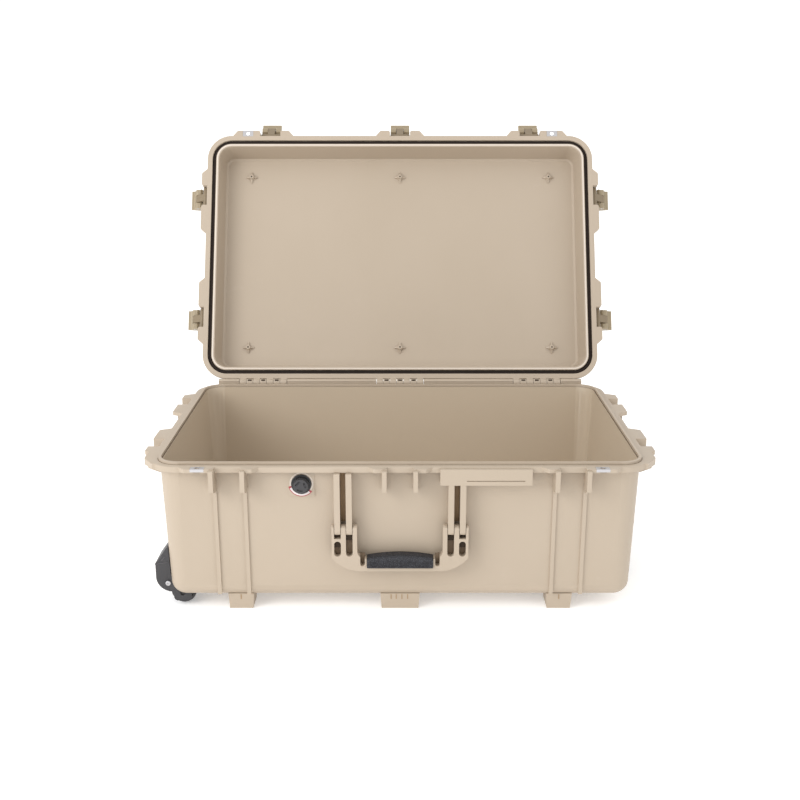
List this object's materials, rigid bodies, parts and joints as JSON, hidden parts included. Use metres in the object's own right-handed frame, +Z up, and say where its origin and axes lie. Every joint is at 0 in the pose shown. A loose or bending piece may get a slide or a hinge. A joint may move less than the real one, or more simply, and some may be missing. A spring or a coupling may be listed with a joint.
{
  "type": "wheeled hard case",
  "caption": "Wheeled moulded hard case with hinged gasketed lid, double-throw latches, fold-down carrying handles, pull-out tow handle and pressure valve.",
  "frame": {"origin": "on the floor under the middle of the open case's box, in plan", "axes": "+X to the case's right along its length, +Y to the rear, +Z up"},
  "size_m": [0.8378, 0.7818, 0.7244],
  "materials": {
    "case_plastic": "fine moulded grain, desert tan",
    "latch_plastic": "moulded, desert tan",
    "black_plastic": "moulded charcoal",
    "hub_plastic": "moulded dark grey",
    "seal_rubber": "soft black",
    "grip_rubber": "overmoulded soft charcoal",
    "wheel_tyre": "polyurethane",
    "steel": "stainless",
    "tube_aluminium": "anodised satin"
  },
  "bodies": {
    "base": {"base_shell": "case_plastic", "hinge_pins": "steel", "base_padlock_plates": "steel", "front_handle_pins": "steel", "side_handle_pins": "steel", "front_wheel_housing": "black_plastic", "rear_wheel_housing": "black_plastic", "housing_screws": "steel", "front_wheel_axle": "steel", "rear_wheel_axle": "steel", "pull_handle_guides": "black_plastic", "guide_screws": "steel", "valve_body": "black_plastic", "valve_seal": "seal_rubber", "valve_nut": "black_plastic"},
    "lid": {"lid_shell": "case_plastic", "lid_gasket": "seal_rubber", "lid_padlock_plates": "steel", "latch_pivot_pins": "steel"},
    "front_handle": {"front_handle_frame": "case_plastic", "front_handle_grip": "grip_rubber"},
    "side_handle": {"side_handle_frame": "case_plastic", "side_handle_grip": "grip_rubber"},
    "pull_handle": {"pull_handle_tubes": "tube_aluminium", "pull_handle_grip": "black_plastic"},
    "pull_button": {"pull_handle_button": "black_plastic"},
    "valve_knob": {"valve_knob": "black_plastic"},
    "front_wheel": {"front_wheel_tyre": "wheel_tyre", "front_wheel_hub": "hub_plastic", "front_wheel_bearings": "steel"},
    "rear_wheel": {"rear_wheel_tyre": "wheel_tyre", "rear_wheel_hub": "hub_plastic", "rear_wheel_bearings": "steel"},
    "front_left_claw": {"front_left_claw": "latch_plastic", "front_left_lever_pin": "steel"},
    "front_left_lever": {"front_left_lever": "latch_plastic"},
    "front_centre_claw": {"front_centre_claw": "latch_plastic", "front_centre_lever_pin": "steel"},
    "front_centre_lever": {"front_centre_lever": "latch_plastic"},
    "front_right_claw": {"front_right_claw": "latch_plastic", "front_right_lever_pin": "steel"},
    "front_right_lever": {"front_right_lever": "latch_plastic"},
    "left_front_claw": {"left_front_claw": "latch_plastic", "left_front_lever_pin": "steel"},
    "left_front_lever": {"left_front_lever": "latch_plastic"},
    "left_rear_claw": {"left_rear_claw": "latch_plastic", "left_rear_lever_pin": "steel"},
    "left_rear_lever": {"left_rear_lever": "latch_plastic"},
    "right_front_claw": {"right_front_claw": "latch_plastic", "right_front_lever_pin": "steel"},
    "right_front_lever": {"right_front_lever": "latch_plastic"},
    "right_rear_claw": {"right_rear_claw": "latch_plastic", "right_rear_lever_pin": "steel"},
    "right_rear_lever": {"right_rear_lever": "latch_plastic"}
  },
  "joints": [
    {"name": "lid_hinge", "type": "hinge", "parent": "base", "child": "lid", "pos_m": [0, 0.12708, 0.248], "axis": [-1, 0, 0], "range_deg": [-114, 0]},
    {"name": "front_handle_fold", "type": "hinge", "parent": "base", "child": "front_handle", "pos_m": [0, -0.37092, 0.145], "axis": [-1, 0, 0], "range_deg": [0, 95]},
    {"name": "side_handle_fold", "type": "hinge", "parent": "base", "child": "side_handle", "pos_m": [0.381, -0.12692, 0.145], "axis": [0, -1, 0], "range_deg": [0, 95]},
    {"name": "pull_handle_slide", "type": "slide", "parent": "base", "child": "pull_handle", "axis": [1, 0, 0], "range_m": [0, 0.35]},
    {"name": "pull_button_press", "type": "slide", "parent": "pull_handle", "child": "pull_button", "axis": [-1, 0, 0], "range_m": [0, 0.003], "stiffness_N_per_m": 400, "springref_m": -0.001},
    {"name": "valve_knob_turn", "type": "hinge", "parent": "base", "child": "valve_knob", "pos_m": [-0.15, -0.35995, 0.215], "axis": [0, -1, 0], "range_deg": [0, 180]},
    {"name": "front_wheel_spin", "type": "hinge", "parent": "base", "child": "front_wheel", "pos_m": [-0.3455, -0.30892, 0.021], "axis": [0, 1, 0], "continuous": true},
    {"name": "rear_wheel_spin", "type": "hinge", "parent": "base", "child": "rear_wheel", "pos_m": [-0.3455, 0.05508, 0.021], "axis": [0, 1, 0], "continuous": true},
    {"name": "front_left_claw_swing", "type": "hinge", "parent": "lid", "child": "front_left_claw", "pos_m": [-0.2595, 0.34527, 0.70365], "axis": [-1, 0, 0], "range_deg": [-115, 25]},
    {"name": "front_left_lever_throw", "type": "hinge", "parent": "front_left_claw", "child": "front_left_lever", "pos_m": [-0.2595, 0.3644, 0.71365], "axis": [-1, 0, 0], "range_deg": [-65, 15]},
    {"name": "front_centre_claw_swing", "type": "hinge", "parent": "lid", "child": "front_centre_claw", "pos_m": [0, 0.34527, 0.70365], "axis": [-1, 0, 0], "range_deg": [-115, 25]},
    {"name": "front_centre_lever_throw", "type": "hinge", "parent": "front_centre_claw", "child": "front_centre_lever", "pos_m": [0, 0.3644, 0.71365], "axis": [-1, 0, 0], "range_deg": [-65, 15]},
    {"name": "front_right_claw_swing", "type": "hinge", "parent": "lid", "child": "front_right_claw", "pos_m": [0.2595, 0.34527, 0.70365], "axis": [-1, 0, 0], "range_deg": [-115, 25]},
    {"name": "front_right_lever_throw", "type": "hinge", "parent": "front_right_claw", "child": "front_right_lever", "pos_m": [0.2595, 0.3644, 0.71365], "axis": [-1, 0, 0], "range_deg": [-65, 15]},
    {"name": "left_front_claw_swing", "type": "hinge", "parent": "lid", "child": "left_front_claw", "pos_m": [-0.388, 0.2932, 0.58671], "axis": [0, -0.4067, -0.9135], "range_deg": [-115, 25]},
    {"name": "left_front_lever_throw", "type": "hinge", "parent": "left_front_claw", "child": "left_front_lever", "pos_m": [-0.40492, 0.30545, 0.58126], "axis": [0, -0.4067, -0.9135], "range_deg": [-65, 15]},
    {"name": "left_rear_claw_swing", "type": "hinge", "parent": "lid", "child": "left_rear_claw", "pos_m": [-0.388, 0.19274, 0.36107], "axis": [0, -0.4067, -0.9135], "range_deg": [-115, 25]},
    {"name": "left_rear_lever_throw", "type": "hinge", "parent": "left_rear_claw", "child": "left_rear_lever", "pos_m": [-0.40492, 0.20499, 0.35561], "axis": [0, -0.4067, -0.9135], "range_deg": [-65, 15]},
    {"name": "right_front_claw_swing", "type": "hinge", "parent": "lid", "child": "right_front_claw", "pos_m": [0.388, 0.2932, 0.58671], "axis": [0, 0.4067, 0.9135], "range_deg": [-115, 25]},
    {"name": "right_front_lever_throw", "type": "hinge", "parent": "right_front_claw", "child": "right_front_lever", "pos_m": [0.40492, 0.30545, 0.58126], "axis": [0, 0.4067, 0.9135], "range_deg": [-65, 15]},
    {"name": "right_rear_claw_swing", "type": "hinge", "parent": "lid", "child": "right_rear_claw", "pos_m": [0.388, 0.19274, 0.36107], "axis": [0, 0.4067, 0.9135], "range_deg": [-115, 25]},
    {"name": "right_rear_lever_throw", "type": "hinge", "parent": "right_rear_claw", "child": "right_rear_lever", "pos_m": [0.40492, 0.20499, 0.35561], "axis": [0, 0.4067, 0.9135], "range_deg": [-65, 15]}
  ]
}
